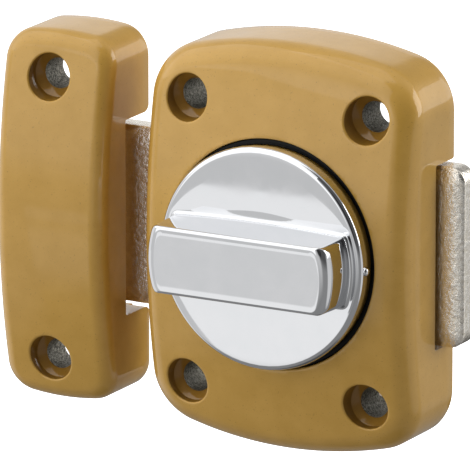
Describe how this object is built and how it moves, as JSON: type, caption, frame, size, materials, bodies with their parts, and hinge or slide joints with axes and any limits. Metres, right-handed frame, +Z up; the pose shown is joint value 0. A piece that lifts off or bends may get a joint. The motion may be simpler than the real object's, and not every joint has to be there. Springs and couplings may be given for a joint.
{
  "type": "rim bolt latch",
  "caption": "Surface-mounted rim bolt: painted cast case with a round thumb turn, a flat sliding bolt through both sides, and a separate keeper for the door frame.",
  "frame": {"origin": "On the door's surface (the case's back face, Y = 0), on the thumb turn's axis, which is the centre of the case", "axes": "+X to the right along the bolt's travel (the keeper is at -X), +Z up the door, +Y into the door; the thumb turn faces -Y"},
  "size_m": [0.1028, 0.0363, 0.086],
  "materials": {
    "case_paint": "gloss ochre-gold paint on a zinc die casting",
    "keeper_paint": "gloss ochre-gold paint on a zinc die casting",
    "nickel_plate": "nickel plating on a rough cast surface",
    "chrome_plate": "polished chrome plating",
    "black_plastic": "black moulded ring",
    "zinc_sheet": "zinc-plated sheet",
    "zinc_screws": "zinc-plated screws",
    "nylon": "natural nylon",
    "drive_steel": "machined steel",
    "pinion_brass": "machined brass",
    "spring_steel": "dark spring steel"
  },
  "bodies": {
    "case": {"case_shell": "case_paint", "back_plate": "zinc_sheet", "back_plate_screw_1": "zinc_screws", "back_plate_screw_2": "zinc_screws", "back_plate_screw_3": "zinc_screws", "back_plate_screw_4": "zinc_screws", "hub_bush": "nylon", "recess_ring": "black_plastic", "thrust_washer": "spring_steel", "detent_spring": "spring_steel", "detent_ball": "spring_steel", "guide_pin_upper": "drive_steel", "guide_pin_lower": "drive_steel"},
    "thumbturn": {"thumb_knob": "chrome_plate", "spindle": "drive_steel", "drive_pin": "drive_steel", "pinion": "pinion_brass", "hub_circlip": "spring_steel"},
    "bolt": {"bolt": "nickel_plate"},
    "keeper": {"keeper": "keeper_paint"}
  },
  "joints": [
    {"name": "knob_turn", "type": "hinge", "parent": "case", "child": "thumbturn", "pos_m": [0, 0, 0], "axis": [0, 1, 0], "range_deg": [0, 180]},
    {"name": "bolt_slide", "type": "slide", "parent": "case", "child": "bolt", "axis": [1, 0, 0], "range_m": [0, 0.0205]},
    {"name": "keeper_part", "type": "slide", "parent": "case", "child": "keeper", "axis": [-1, 0, 0], "range_m": [0, 0.06]}
  ],
  "couplings": [
    {"joint": "bolt_slide", "follows": "knob_turn", "m_per_rad": 0.0065}
  ]
}
